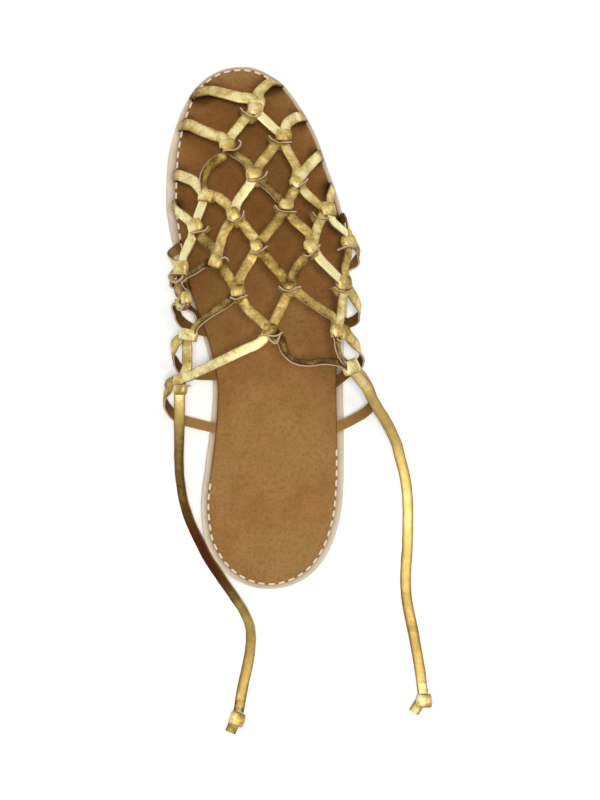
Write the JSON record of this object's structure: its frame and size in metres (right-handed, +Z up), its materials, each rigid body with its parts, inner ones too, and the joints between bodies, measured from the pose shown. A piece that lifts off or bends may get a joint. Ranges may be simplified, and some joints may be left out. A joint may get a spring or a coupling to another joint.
{
  "type": "leather sandal",
  "caption": "Flat right leather sandal with a knotted net upper of narrow gold leather straps, a suede-covered insole, a leather outsole and two long ties.",
  "frame": {"origin": "on the floor, under the middle of the heel's flat spot, 35 mm forward of the back of the heel", "axes": "+Z up, +Y towards the toe, +X towards the little toe (the outer side of this right shoe)"},
  "size_m": [0.1309, 0.3213, 0.053],
  "materials": {
    "sole_leather": "natural vegetable-tanned leather with a cut edge",
    "suede": "brown suede",
    "gold_leather": "metallic gold foil on the grain side, brown suede on the flesh side, pinkish cut edges"
  },
  "bodies": {
    "root": {"outsole": "sole_leather", "insole": "suede", "upper": "gold_leather", "tie_medial": "gold_leather", "tie_lateral": "gold_leather", "end_knot_medial": "gold_leather", "end_knot_lateral": "gold_leather"}
  },
  "joints": []
}
